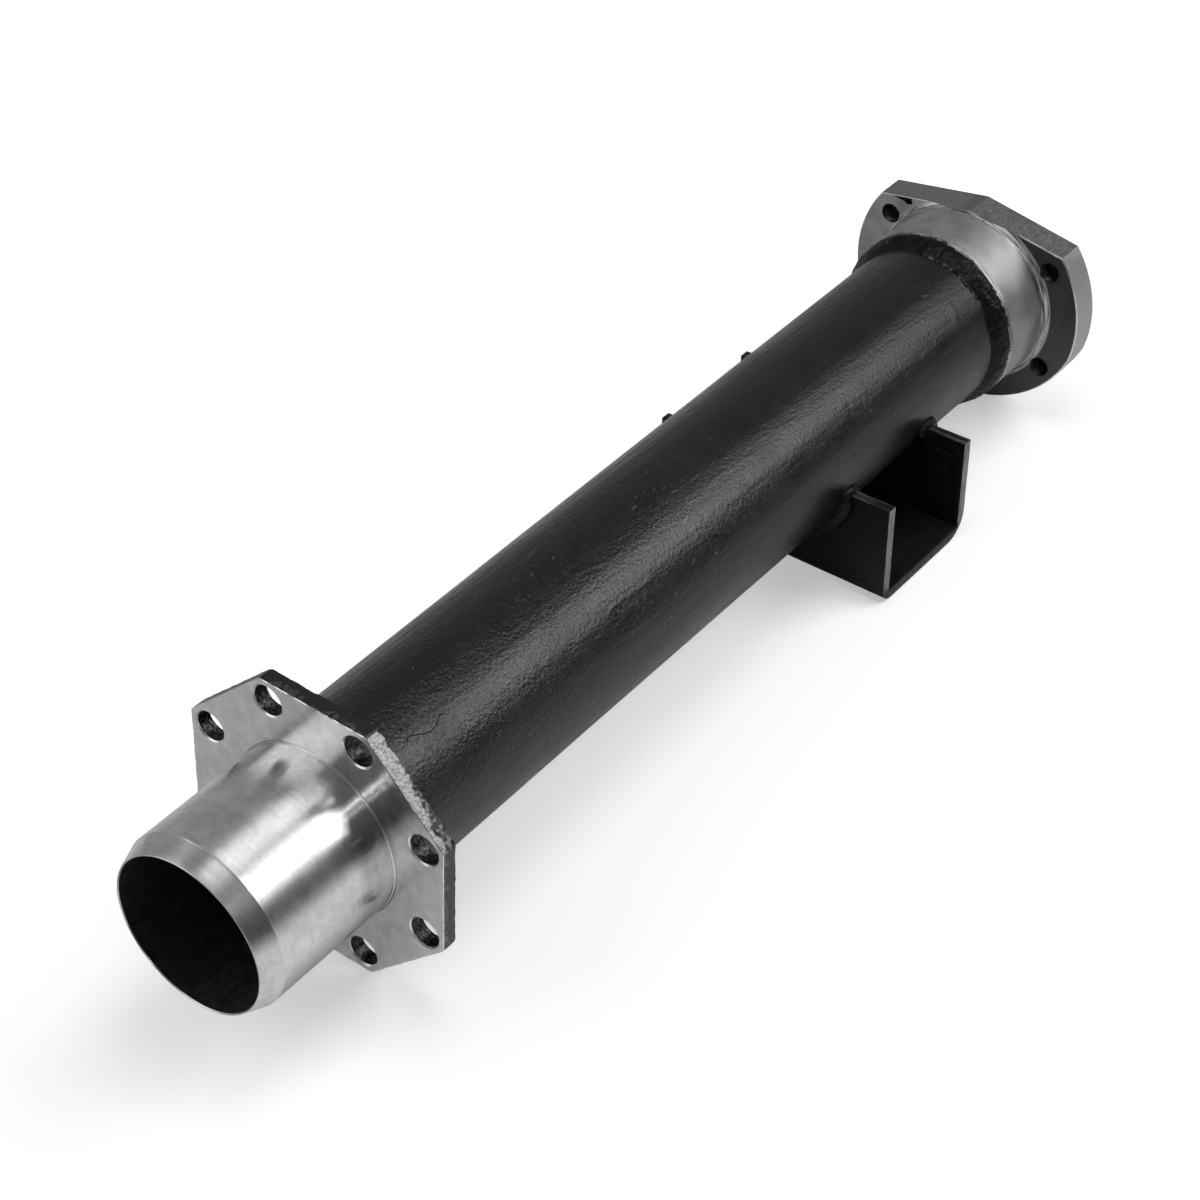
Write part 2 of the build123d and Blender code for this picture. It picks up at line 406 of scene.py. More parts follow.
def turnedSteel(kind):
    look = steelLook[kind]
    colour, cloud, rough = look["colour"], look["cloud"], look["rough"]
    material, tree, spot = startMaterial(kind + "Steel")
    x, y, z = split(spot)
    along = x
    if kind in ("face", "nearFace"):
        along = maths("SQRT", maths("ADD", times(y, y), times(z, z)))
    marks = place(tree, "Group", node_tree=toolMarks, Position=spot, Feed=along, Rings=look["rings"],
                  Bands=look["bands"], Cloud_Scale=look["clouds"]).outputs
    clouded = remap(marks["Tone"], 0.3, 0.7)
    tone = mix(clouded, grey(colour * (1 - cloud)), grey(colour * (1 + cloud)))
    layers = [(remap(marks["Stain"], 0.60, 0.78, 0.0, cloud * 1.6), colour * 0.45)]
    if "mottle" in look:
        layers.append((remap(marks["Stain"], 0.40, 0.62, 0.0, look["mottle"]), colour * 0.55))
    roughness = remap(marks["Tone"], 0.3, 0.7, rough - 0.03, rough + 0.03)
    height = times(marks["Height"], look["depth"])
    if "finer" in look:
        roughness = maths("SUBTRACT", roughness, remap(x, *look["finerReach"], 0.0, look["finer"]))
        height = times(height, remap(x, *look["finerReach"], 1.0, 0.2))
    for low, high in look.get("streaks", ()):
        off = maths("ABSOLUTE", maths("SUBTRACT", x, (low + high) / 2))
        here = remap(off, (high - low) / 4, (high - low) / 2, 1.0, 0.0)
        coarse = noise(spot, (1500.0, 70.0, 70.0), 3.0, 0.6)
        height = maths("MULTIPLY_ADD", coarse, times(here, look["streakDepth"]), height)
        layers += [(times(here, remap(coarse, 0.52, 0.62)), look["streakLight"]),
                   (times(here, remap(coarse, 0.50, 0.40)), look["streakDark"])]
    # painted shade: the spigot's colour darkens towards its bottom
    if "underside" in look:
        layers.append((remap(z, *look["underReach"]), colour * look["underside"]))
    metallic = 1.0
    if "paintReach" in look:
        # the paint of the weld ends in a ragged border on the collar
        border = remap(noise(spot, (60.0, 190.0, 190.0), 5.0, 0.7), 0.44, 0.70, *look["paintReach"])
        border = maths("LESS_THAN", x, border)
        layers.append((border, paintLook["weld"]["colour"]))
        metallic = maths("SUBTRACT", 1.0, border)
    if "stained" in look:
        # painted shade darkens one side of the near face, and a painted highlight runs along the edge of each
        # flat
        tilt = math.radians(look["edgeTilt"])
        level = times(z, math.cos(tilt))
        level = maths("MULTIPLY_ADD", maths("ABSOLUTE", y), math.sin(tilt), level)
        layers += [(remap(y, *look["stainReach"]), look["stained"]),
                   (remap(level, *look["edgeReach"]), look["edgeLine"])]
    # the grooves run round the tube's axis, and the light spreads across them
    groove = vectorMaths("CROSS_PRODUCT", (1.0, 0.0, 0.0), spot)
    return finishMaterial(material, layered(tone, *layers), roughness, height, mm, Metallic=metallic,
                          Anisotropic=look["brushed"], Anisotropic_Rotation=0.25, Tangent=groove)


# the flats: painted shade just beside the line where they meet, and a painted highlight round the near side of
# the flange's outer edge
flatLook = {"vertex": 0.24, "vertexReach": (0.0001, 0.0003), "vertexEnd": (0.0080, 0.0040),
            "rim": 0.45, "rimReach": (-0.018, -0.028)}


def plainMetal(name, dark, light, scale, rough, depth=0.00005, metallic=1.0, low=0.3, high=0.7, shine=0.5,
               dimBelow=None):
    material, tree, spot = startMaterial(name)
    grain = noise(spot, scale, 5.0, 0.65)
    tone = mix(remap(grain, low, high), grey(dark), grey(light))
    if dimBelow is not None:
        tone = layered(tone, (remap(split(spot)[2], dimBelow + 0.004, dimBelow), dark * 0.4))
    if name == "flatSteel":
        y = split(spot)[1]
        # painted shade beside the line where the flats meet, and a painted highlight on the near side of the
        # outer edge
        vertex = times(remap(y, *flatLook["vertexReach"]), remap(y, *flatLook["vertexEnd"]))
        rim = times(remap(y, *flatLook["rimReach"]), facingUp(tree, 0.95, 0.85))
        tone = layered(tone, (vertex, flatLook["vertex"]), (rim, flatLook["rim"]))
    roughness = remap(grain, 0.3, 0.7, rough - 0.07, rough + 0.07)
    return finishMaterial(material, tone, roughness, grain, depth, Metallic=metallic, Specular_IOR_Level=shine)


# how far the bare steel reaches from the machined face, its greys and grain, and the slag of the flame cut
edgeLook = {
    "plateEdge": {"reach": (0.0001, 0.0040), "dark": 0.03, "light": 0.14,
                  "grain": (300.0, 700.0, 700.0), "depth": 0.00006},
    "cutSteel": {"reach": (0.0046, 0.0074), "narrower": 0.0038, "dark": 0.10, "light": 0.38,
                 "grain": (700.0, 3200.0, 3200.0), "depth": 0.00011, "slagDark": 0.006, "slagLight": 0.30,
                 "narrowReach": (0.046, 0.024), "burntReach": (0.050, 0.030), "slagReach": (0.050, 0.040),
                 "pittedReach": (0.0015, 0.0055)},
    "black": 0.004, "rough": 0.42,
}


def plateEdgeMaterial(name):
    # bare metal next to the machined face, and black paint with a ragged border behind it
    look = edgeLook[name]
    material, tree, spot = startMaterial(name)
    x, y, z = split(spot)
    reach = remap(noise(spot, (110.0, 130.0, 130.0), 4.0), 0.35, 0.66, *look["reach"])
    if "narrower" in look:
        # the bare part narrows towards the lower end of the flame-cut side
        reach = maths("SUBTRACT", reach, remap(z, *look["narrowReach"], 0.0, look["narrower"]))
    bare = maths("LESS_THAN", x, reach)
    scrape = noise(spot, look["grain"], 4.0)
    metal = mix(remap(scrape, 0.34, 0.58), grey(look["dark"]), grey(look["light"]))
    painted = grey(edgeLook["black"])
    if "narrower" in look:
        # the flame left slag there, and holes burnt into the bare part
        slag = noise(spot, (520.0, 620.0, 620.0), 4.0, 0.6)
        burnt = times(remap(z, *look["burntReach"]), remap(slag, 0.52, 0.60))
        metal = layered(metal, (times(burnt, remap(x, *look["pittedReach"])), look["slagDark"]))
        slag = mix(remap(slag, 0.46, 0.64), grey(look["slagDark"]), grey(look["slagLight"]))
        painted = mix(remap(z, *look["slagReach"]), painted, slag)
    height = maths("MULTIPLY_ADD", bare, -0.6, scrape)
    return finishMaterial(material, mix(bare, painted, metal), edgeLook["rough"], height, look["depth"],
                          Metallic=bare)


tubePaint, weldPaint, bracketPaint = (blackPaint(kind) for kind in ("tube", "weld", "bracket"))
spigotSteel, ridgeSteel, faceSteel, collarSteel, nearFaceSteel = (turnedSteel(kind) for kind in steelLook)
flatSteel = plainMetal("flatSteel", 0.26, 0.35, (420.0, 700.0, 420.0), 0.46, depth=0.00002)
holeSteel = plainMetal("holeSteel", 0.010, 0.14, (1300.0, 700.0, 700.0), 0.45, low=0.42, high=0.68)
studHoleSteel = plainMetal("studHoleSteel", 0.02, 0.09, 300.0, 0.38)
seatSteel = plainMetal("seatSteel", 0.28, 0.42, (900.0, 40.0, 40.0), 0.32, depth=0.00002)
edgeSteel = plainMetal("edgeSteel", 0.55, 0.80, (500.0, 120.0, 120.0), 0.34, depth=0.00002)
bareEnd = plainMetal("bareEnd", 0.10, 0.35, (900.0, 300.0, 120.0), 0.45, depth=0.0001, dimBelow=-0.0524)
crackPaint = plainMetal("crackPaint", 0.003, 0.010, 800.0, 0.80, metallic=0.0, shine=0.08)
scratchPaint = plainMetal("scratchPaint", 0.03, 0.16, 900.0, 0.60, metallic=0.0)
boreSkin = plainMetal("boreSkin", 0.004, 0.02, (200.0, 300.0, 300.0), 0.6, metallic=0.0)
plateEdge, cutSteel = plateEdgeMaterial("plateEdge"), plateEdgeMaterial("cutSteel")
print("materials ready")


# Tube, spigot and bore

shortFold = [(50, 109), (52.5, 110.4), (56, 112)]
longFold = [(139.7, 138), (148, 138), (155, 139), (167, 139.3)]
hookedFold = [(308.5, 135.6), (307.9, 138.9), (310.4, 142.4), (314.4, 145), (318, 148.5), (321, 147.7)]
tubeParts = {
    "outsideRadius": 38.1, "boreRadius": 33.3, "start": 7.0, "end": 421.0, "sleeveInside": 36.0,
    "paintInset": 0.15, "alongStep": 1.35, "roundSteps": 300,
    "longWave": 0.15, "strands": 0.050, "wrinkle": 0.018, "farEndSmoother": 0.65,
    "spigotRadius": 37.3, "spigotEnd": -68.0, "taperStart": -58.7, "lipRadius": 34.0, "burr": 0.42,
    "spigotBack": 7.2, "spigotInside": 35.5, "boreEnd": 438.0,
    # runs and folds in the paint: height, half width, and points as (x, degrees round from the +Y side)
    "runs": [
        (-0.05, 0.9, [(28, 122), (32, 120), (35.5, 122.6), (38.4, 124.8), (41.5, 125.7), (45, 125), (47, 123),
                      (51.5, 124)]),
        (0.16, 0.8, shortFold),
        (0.10, 1.0, [(126.6, 108.2), (135.2, 109.2), (143.5, 109.5), (156.5, 115.9)]),
        (0.07, 0.7, [(280.7, 110.2), (300.4, 109.9), (323.9, 109.1), (348.0, 108.3), (375.6, 108.7)]),
        (0.14, 0.9, longFold),
        (0.15, 0.8, [(118.7, 119), (122.4, 118.2), (126, 119.2)]),
        (0.12, 0.9, [(140, 155), (151, 157.3), (161, 158.3)]),
        (-0.16, 0.8, hookedFold),
        (0.12, 0.8, [(395, 128.3), (394.5, 133.5), (392.8, 138.5)]),
        (0.08, 1.6, [(204, 131.4), (223, 133.7), (251, 135.4), (270, 139)]),
    ],
    # thin lines over the paint: kind, height, half width and points
    "beads": [
        ("crack", 0.08, 0.17, [(28.7, 121.6), (32.0, 120.2), (34.7, 122.3), (37.7, 124.6), (40.4, 125.6),
                               (42.4, 125.6), (45.4, 123.7), (47.9, 121.9), (49.8, 122.6), (51.7, 125.0)]),
        ("drop", 0.10, 0.26, shortFold),
        ("drop", 0.12, 0.28, hookedFold),
        ("drop", 0.08, 0.24, longFold),
        ("scratch", 0.03, 0.14, [(395.1, 131.3), (394.0, 134.7), (392.6, 138.2)]),
        ("scratch", 0.03, 0.14, [(391.2, 133.8), (393.1, 132.4), (395.0, 131.7)]),
        ("scratch", 0.03, 0.14, [(385.0, 110.3), (387.1, 112.9), (389.8, 114.4)]),
        ("scratch", 0.03, 0.14, [(366.9, 139.1), (364.4, 141.4), (360.8, 144.4)]),
        ("scratch", 0.03, 0.14, [(376.0, 155.5), (375.4, 156.2), (374.6, 156.6)]),
    ],
    # the section of such a line, as (half widths across, heights)
    "beadSection": ((-1.3, -0.08), (-0.8, 0.35), (-0.35, 0.88), (0.0, 1.0), (0.35, 0.88), (0.8, 0.35),
                    (1.3, -0.08), (0.9, -3.0), (-0.9, -3.0)),
    "beadStep": 0.35, "beadWander": 0.22, "beadEnds": 1.5,
}


def runHeight(x, degrees):
    # height of the runs at each place, measured across them on the unrolled tube
    scale = math.radians(1) * tubeParts["outsideRadius"]
    total = np.zeros(len(x))
    for height, halfWidth, points in tubeParts["runs"]:
        nearest = np.full(len(x), 99.0)
        for (xa, ya), (xb, yb) in zip(points[:-1], points[1:]):
            dx, dy = x - xa, degrees * scale - ya * scale
            stepX, stepY = xb - xa, (yb - ya) * scale
            t = np.clip((dx * stepX + dy * stepY) / (stepX ** 2 + stepY ** 2), 0, 1)
            nearest = np.minimum(nearest, np.hypot(dx - t * stepX, dy - t * stepY))
        total += height * np.exp(-(nearest / halfWidth) ** 2)
    return total


def tubeRadius(x, a):
    # the radius of the painted surface at each place and angle
    p = tubeParts
    surface = around(x, p["outsideRadius"], a)
    askew = surface + np.stack([0 * x, 0.05 * x, 0.05 * x], 1)
    fade = 1 - p["farEndSmoother"] * np.clip((x - 120) / 260, 0, 1)
    height = p["longWave"] * layeredNoise(surface, (120, 12, 12), 2, 3)
    height += p["strands"] * layeredNoise(askew, (55, 3.8, 3.8), 2, 13) * (0.4 + 0.6 * fade)
    patch = np.clip(layeredNoise(surface, (45, 20, 20), 2, 21) + 0.45, 0, 1)
    twisted = surface + 0.5 * surface[:, [1, 2, 0]]
    height += p["wrinkle"] * layeredNoise(twisted, (7, 3.0, 3.0), 2, 9) * patch * fade
    height += runHeight(x, np.degrees(a))
    return p["outsideRadius"] - p["paintInset"] + height


def buildBeads():
    p = tubeParts
    scale = math.radians(1) * p["outsideRadius"]
    materials = {"crack": crackPaint, "drop": tubePaint, "scratch": scratchPaint}
    columns = len(p["beadSection"])
    verts, faces, kinds, start = [], [], [], 0
    for number, (kind, tall, halfWidth, points) in enumerate(p["beads"]):
        path = np.array([(x, degrees * scale) for x, degrees in points])
        reached = np.concatenate([[0], np.cumsum(np.linalg.norm(np.diff(path, axis=0), axis=1))])
        places = np.arange(0, reached[-1], p["beadStep"])
        path = np.stack([np.interp(places, reached, path[:, axis]) for axis in (0, 1)], 1)
        ripple = np.stack([places, np.full(len(places), 9.0 * number), 0 * places], 1)
        for axis in (0, 1):
            path[:, axis] += p["beadWander"] * layeredNoise(ripple, (1.6, 1, 1), 3, 80 + axis)
        step = np.gradient(path, axis=0)
        step /= np.linalg.norm(step, axis=1, keepdims=True)
        ends = np.clip(np.minimum(places, places[-1] - places) / p["beadEnds"], 0, 1)
        size = (0.8 + 0.4 * layeredNoise(ripple, (2.2, 1, 1), 2, 90)) * np.sqrt(ends)
        section = []
        for across, up in p["beadSection"]:
            x = path[:, 0] - step[:, 1] * across * halfWidth
            a = (path[:, 1] + step[:, 0] * across * halfWidth) / p["outsideRadius"]
            lift = tall * np.where(up > 0, up * size, up) - 0.04 * (1 - ends)
            section.append(around(x, tubeRadius(x, a) + lift, a))
        verts.append(np.stack(section, 1).reshape(-1, 3))
        made = gridFaces(len(places), columns, start, caps=True)
        faces += made
        kinds += [list(materials).index(kind)] * len(made)
        start += len(places) * columns
    piece = makeObject("paintBeads", np.concatenate(verts), faces, list(materials.values()), kinds)
    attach(piece, "root")
    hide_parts("axle_tube")


def buildTube():
    p = tubeParts
    steps = p["roundSteps"]
    rows = int((p["end"] - p["start"]) / p["alongStep"]) + 1
    x, a = np.meshgrid(np.linspace(p["start"], p["end"], rows), turns(steps), indexing="ij")
    outside = around(x.ravel(), tubeRadius(x.ravel(), a.ravel()), a.ravel())
    # the sleeve is closed by a wall inside it, which the spigot's piece hides
    inside = [around(x, p["sleeveInside"], turns(steps)) for x in (p["end"], p["start"])]
    verts = np.concatenate([outside, *inside])
    piece = makeObject("tubeBody", verts, gridFaces(rows + 2, steps, ring=True), [tubePaint])
    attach(piece, "root")
    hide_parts("axle_tube")


def buildSpigot():
    p = tubeParts
    ridge, end, lip, r = p["taperStart"], p["spigotEnd"], p["lipRadius"], p["spigotRadius"]
    bore, burr, back = p["boreRadius"], r + p["burr"], p["spigotBack"]
    taper = [(end + t * (ridge - end), lip + t * (r - lip)) for t in np.linspace(0, 1, 8)[1:-1]]
    # stretches of the profile with their materials: the turned steel, the bore and the ridges
    turned, skin, ridged = range(3)
    stretches = [
        ([(p["boreEnd"], bore)] + [(x, bore) for x in np.linspace(300, end + 0.4, 30)], skin),
        ([(end, bore + 0.25), (end, lip - 0.2), (end + 0.15, lip)] + taper, ridged),
        ([(ridge - 0.35, r - 0.14), (ridge, r + 0.03)], ridged),
        ([(ridge + 0.5, r - 0.02)] + [(x, r) for x in np.linspace(ridge + 1.5, -1.2, 60)], turned),
        ([(-0.5, r + 0.06)], turned),
        ([(-0.12, r + 0.3), (0.05, burr)], ridged),
        ([(back, burr), (back, p["spigotInside"])], turned),
    ]
    profile = [point for points, kind in stretches for point in points]
    kinds = [kind for points, kind in stretches for point in points][1:] + [skin]
    piece = revolve("spigot", profile, 256, [spigotSteel, boreSkin, ridgeSteel], kinds, sharpAngle=12)
    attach(piece, "root")
    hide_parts("axle_tube")


buildTube()
buildBeads()
buildSpigot()
print("tube and spigot built")


# Octagonal plate

plateParts = {
    "corners": 8, "cornerRadius": 64.95, "thickness": 7.0, "turn": 24.7, "cornerRound": 2.0,
    "boltCircle": 55.0, "boltRadius": 6.5, "holeChamfer": 0.60, "holeSteps": 64,
    "boreRadius": 37.75, "boreChamfer": 0.35, "boreSteps": 180,
    "edgeChamfer": 0.30, "backInset": 0.25, "edgeInset": 0.1, "edgeStep": 0.5, "layers": 13,
    "cutDepth": 0.012, "cutRough": 0.015, "edgeRough": 0.03, "slag": 0.42, "cutSide": 137.2,
    "slagAngle": 152.0,
}


def octagonOutline():
    # points along the outline, with small rounds at the corners, and the angle of the side that each lies on
    p = plateParts
    turn, rounding = math.pi / p["corners"], p["cornerRound"]
    flat = p["cornerRadius"] * math.cos(turn)
    half = p["cornerRadius"] * math.sin(turn) - rounding * math.tan(turn)
    points, sides = [], []
    for k in range(p["corners"]):
        middle = p["turn"] + 22.5 + 45 * k
        m = math.radians(middle)
        outward, along = np.array([math.cos(m), math.sin(m)]), np.array([-math.sin(m), math.cos(m)])
        side = [outward * flat + along * t for t in np.linspace(-half, half, int(2 * half / p["edgeStep"]))]
        centre = outward * (flat - rounding) + along * half
        for step in (1, 2, 3):
            a = m + math.radians(45 * step / 4)
            side.append(centre + rounding * np.array([math.cos(a), math.sin(a)]))
        points += side
        sides += [middle] * len(side)
    return np.array(points), np.array(sides)


def buildPlate():
    p = plateParts
    machined, edge, flame, hole, broken = range(5)
    materials = [faceSteel, plateEdge, cutSteel, holeSteel, edgeSteel]
    thick, last = p["thickness"], p["layers"] - 1
    outline, sides = octagonOutline()
    count = len(outline)
    outward = outline / np.linalg.norm(outline, axis=1, keepdims=True)
    arc = np.concatenate([[0], np.cumsum(np.linalg.norm(np.diff(outline, axis=0), axis=1))])
    flameCut = np.abs((sides - p["cutSide"] + 180) % 360 - 180) < 3
    corner = np.degrees(np.arctan2(outline[:, 1], outline[:, 0])) > p["slagAngle"]
    rows, kinds = [], []
    for layer, depth in enumerate([0.0, p["edgeChamfer"], *np.linspace(0, thick, last)[1:]]):
        at = np.column_stack([np.full(count, depth), outline])
        slant = np.column_stack([0 * arc, arc + depth * 0.25, 0 * arc])
        back = np.clip((depth / thick - 0.70) / 0.30, 0, 1)
        wide = np.clip((depth / thick - 0.30) / 0.40, 0, 1)
        lumps = np.clip(layeredNoise(at, (3.5, 2.6, 2.6), 3, 31), -0.8, 1)
        inset = p["cutDepth"] * (layeredNoise(slant, (30, 0.8, 1), 2, 5) - 0.9)
        inset += np.where(flameCut, p["cutRough"], p["edgeRough"]) * layeredNoise(at, 2.5, 3, 11)
        inset += p["slag"] * lumps * np.where(flameCut, np.where(corner, wide * 1.5, back), 0.35 * back)
        inset -= 0.1 * back
        shift = np.zeros(count)
        if layer == 0:
            # the edge of the machined face is broken by hand, now more and now less
            filed = 0.5 + 0.5 * np.clip(3 * layeredNoise(at, (2.0, 1.6, 1.6), 2, 61) + 0.4, -1, 1)
            inset = np.minimum(0.25 * inset, 0.0) - p["edgeChamfer"] * filed
        if layer == last:
            shift = (layeredNoise(at, (5, 2.5, 2.5), 2, 41) - 1) * p["backInset"]
        rows.append(np.column_stack([depth + shift, outline + outward * (inset - p["edgeInset"])[:, None]]))
        if layer < last:
            kinds += np.where(flameCut, flame, edge if layer else broken).tolist()
    faces = gridFaces(p["layers"], count)
    # each opening: centre, radius, chamfer, steps, further places down its wall, and the wall's material
    bolts = [math.radians(p["turn"] + 45 * k) for k in range(p["corners"])]
    openings = [(p["boltCircle"] * math.cos(a), p["boltCircle"] * math.sin(a), p["boltRadius"],
                 p["holeChamfer"], p["holeSteps"], (2.0, 4.5), hole) for a in bolts]
    openings.append((0.0, 0.0, p["boreRadius"], p["boreChamfer"], p["boreSteps"], (), broken))
    loops, start = [(0, last * count, count)], count * p["layers"]
    for cy, cz, radius, chamfer, steps, places, wall in openings:
        levels = [(0.0, radius + chamfer)]
        levels += [(depth, radius) for depth in (chamfer, *places, thick - p["backInset"])]
        rows += [around(depth, r, turns(steps)) + (0, cy, cz) for depth, r in levels]
        made = gridFaces(len(levels), steps, start, flip=True)
        faces += made
        kinds += [broken] * steps + [wall] * (len(made) - steps)
        loops.append((start, start + (len(levels) - 1) * steps, steps))
        start += len(levels) * steps
    verts = np.concatenate(rows)
    # front and back faces, with the openings left out
    for front in (True, False):
        indices, edges = [], []
        for first, final, n in loops:
            base, begin = len(indices), first if front else final
            indices += range(begin, begin + n)
            edges += [(base + i, base + (i + 1) % n) for i in range(n)]
        flat = [Vector(verts[i][1:]) for i in indices]
        triangles, origins = delaunay_2d_cdt(flat, edges, [], 1, 1e-6)[2:4]
        for triangle in triangles:
            ids = [indices[origins[v][0]] for v in triangle if origins[v]]
            if len(ids) < 3:
                continue
            a, b, c = (verts[i][1:] for i in ids)
            my, mz = np.mean([a, b, c], axis=0)
            if any(math.hypot(my - cy, mz - cz) < (radius + chamfer * front) * 0.9999
                   for cy, cz, radius, chamfer, *others in openings):
                continue
            area = (b[0] - a[0]) * (c[1] - a[1]) - (b[1] - a[1]) * (c[0] - a[0])
            faces.append(tuple(ids[::-1] if (area > 0) == front else ids))
            kinds.append(machined if front else edge)
    piece = makeObject("octagonPlate", verts, faces, materials, kinds, sharpAngle=28)
    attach(piece, "root")
    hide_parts("inner_flange")


buildPlate()
print("octagonal plate built")


# Outer flange

flangeParts = {
    "collarStart": 419.6, "collarRadius": 42.1, "socketRadius": 38.2, "filletRadius": 4.0,
    "discStart": 450.5, "discEnd": 464.5, "rimRadius": 58.8, "rimChamfer": 0.55, "collarChamfer": 0.3,
    "boreRadius": 33.3, "boreStart": 438.0, "seatRadius": 36.0, "seatStart": 445.5, "seatChamfer": 1.0,
    "bellyRadius": 61.0, "bellyHeight": 6.7, "flatRadius": 42.4, "flatTilt": 10.0,
    "flatBreak": 0.55, "flatBreakFrom": 25.5,
    "flatBlock": (70, 80), "breakBlock": (68, 66),  # how far these cutters reach sideways and up
    "studCircle": 49.14, "studAngle": 31.12, "studRadius": 4.75, "threadPitch": 1.5, "threadDepth": 0.5,
    # a wedge-shaped nick beside the flat, as (y, z) in the near face
    "nick": [(41.8, 35.2), (31.6, 37.0), (31.0, 34.2), (33.4, 33.2), (35.6, 34.2)], "nickDepth": 2.2,
}


def threadCutter(y, z, fromX, toX):
    # the stud holes are tapped, so their walls step in and out once in every pitch
    p = flangeParts
    outlines = []
    for i, x in enumerate(np.arange(fromX, toX, p["threadPitch"] / 2)):
        crest = i % 2 and p["discStart"] + 0.5 < x < p["discEnd"] - 0.5
        outlines.append((x, circle(y, z, p["studRadius"] - (p["threadDepth"] if crest else 0.0), 48)))
    return solid("studCutter", *outlines)


def flatHeight(y, drop=0.0):
    # how high the flats lie at a distance from the middle
    tilt = math.radians(flangeParts["flatTilt"])
    return (flangeParts["flatRadius"] - drop - y * math.sin(tilt)) / math.cos(tilt)


def buildOuterFlange():
    p = flangeParts
    x0, x1, x2, f = p["collarStart"], p["discStart"], p["discEnd"], p["filletRadius"]
    rc, rr, rb, rs = p["collarRadius"], p["rimRadius"], p["bellyRadius"], p["seatRadius"]
    chamfer, seatChamfer, small = p["rimChamfer"], p["seatChamfer"], p["collarChamfer"]
    profile = [(x0, p["socketRadius"]), (x0, rc - small), (x0 + small, rc)]
    profile += [(x0 + (x1 - f - x0) * t, rc) for t in (0.2, 0.4, 0.6, 0.8)]
    profile += [(x1 - f + f * math.sin(a), rc + f - f * math.cos(a)) for a in np.linspace(0, math.pi / 2, 13)]
    profile += [(x1, rr - chamfer), (x1 + chamfer, rr), (x2, rr), (x2, rs + seatChamfer),
                (x2 - seatChamfer, rs), (p["seatStart"], rs), (p["seatStart"], p["boreRadius"]),
                (p["boreStart"], p["boreRadius"]), (p["boreStart"], p["socketRadius"])]
    collar, nearFace, flat, seat, hole, edge = range(6)
    materials = [collarSteel, nearFaceSteel, flatSteel, seatSteel, studHoleSteel, edgeSteel]
    piece = revolve("bearingFlange", profile, 180, materials, [collar] * len(profile))
    belly = [(x0 - 5, rb - chamfer), (x1, rb - chamfer), (x1 + chamfer, rb), (x2 + 5, rb)]
    belly = [(x, circle(0, p["bellyHeight"], radius, 200)) for x, radius in belly]
    cutWith(piece, solid("bellyCutter", *belly), "INTERSECT")
    out, up = p["flatBlock"]
    roof = [(0, flatHeight(0)), (out, flatHeight(out)), (out, up), (-out, up), (-out, flatHeight(out))]
    cutWith(piece, solid("flatCutter", (x1 - f, roof), (x2 + 1, roof)))
    # the edge of the near side's flat over the near face is broken
    inner, wide, (out, up) = p["flatBreakFrom"], p["flatBreak"], p["breakBlock"]
    near, far = ([(-out, flatHeight(out, drop)), (-inner, flatHeight(inner, drop)), (-inner, up), (-out, up)]
                 for drop in (wide + 0.3, -0.1))
    cutWith(piece, solid("breakCutter", (x1 - 0.3, near), (x1 + wide + 0.1, far)))
    angle = math.radians(p["studAngle"])
    studY, studZ = p["studCircle"] * math.cos(angle), p["studCircle"] * math.sin(angle)
    studs = np.array([(studY, studZ), (-studY, studZ), (-studY, -studZ), (studY, -studZ)])
    for y, z in studs.tolist():
        cutWith(piece, threadCutter(y, z, x1 - f, x2 + 1))
    cutWith(piece, solid("nickCutter", (x1 - 1, p["nick"]), (x1 + p["nickDepth"], p["nick"])))
    lean = math.sin(math.radians(p["flatTilt"]))
    for polygon in piece.data.polygons:
        x, y, z = polygon.center / mm
        n, r = polygon.normal, math.hypot(y, z)
        inStud = np.min(np.hypot(studs[:, 0] - y, studs[:, 1] - z)) < p["studRadius"] + 0.05
        inNick = 30 < y < 42 and 33 < z < 38 and x1 + 0.05 < x < x1 + p["nickDepth"] + 0.1
        if x > x1 - f + 0.1 and abs(abs(n.y) - lean) < 0.02 and n.z > 0.9:
            kind = flat
        elif (inStud and (abs(n.x) < 0.5 or x1 + 0.3 < x < x2 - 0.3)) or inNick:
            kind = hole
        elif x > x1 - 0.3 and n.x < -0.9 and r > rc + 3:
            kind = nearFace
        elif r < rc - 1 and (y * n.y + z * n.z < -0.3 * r or x > x0 + 1):
            kind = seat
        elif x1 < x < x1 + chamfer and n.x < -0.4:
            kind = edge
        else:
            kind = flat if x > x1 - 0.3 else collar
        polygon.material_index = kind
    smooth(piece.data, 15)
    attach(piece, "root")
    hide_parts("outer_flange")


buildOuterFlange()
print("outer flange built")


# Saddle bracket

bracketParts = {
    "innerFace": 295.2, "outerFace": 360.5, "thickness": 4.8, "base": -57.2, "top": -7.3,
    "halfLength": 59.0, "nearBend": 7.0, "farBend": 12.0, "insideBend": 0.8, "saddleRadius": 38.25,
    "farTipDrop": 2.2, "edgeRound": 0.35, "unevenness": 0.05, "endInset": 0.02, "rows": 60,
}


def cornerArc(cx, cz, radius, fromAngle, toAngle, steps):
    angles = [math.radians(a) for a in np.linspace(fromAngle, toAngle, steps)]
    return [(cx + radius * math.cos(a), cz + radius * math.sin(a)) for a in angles]


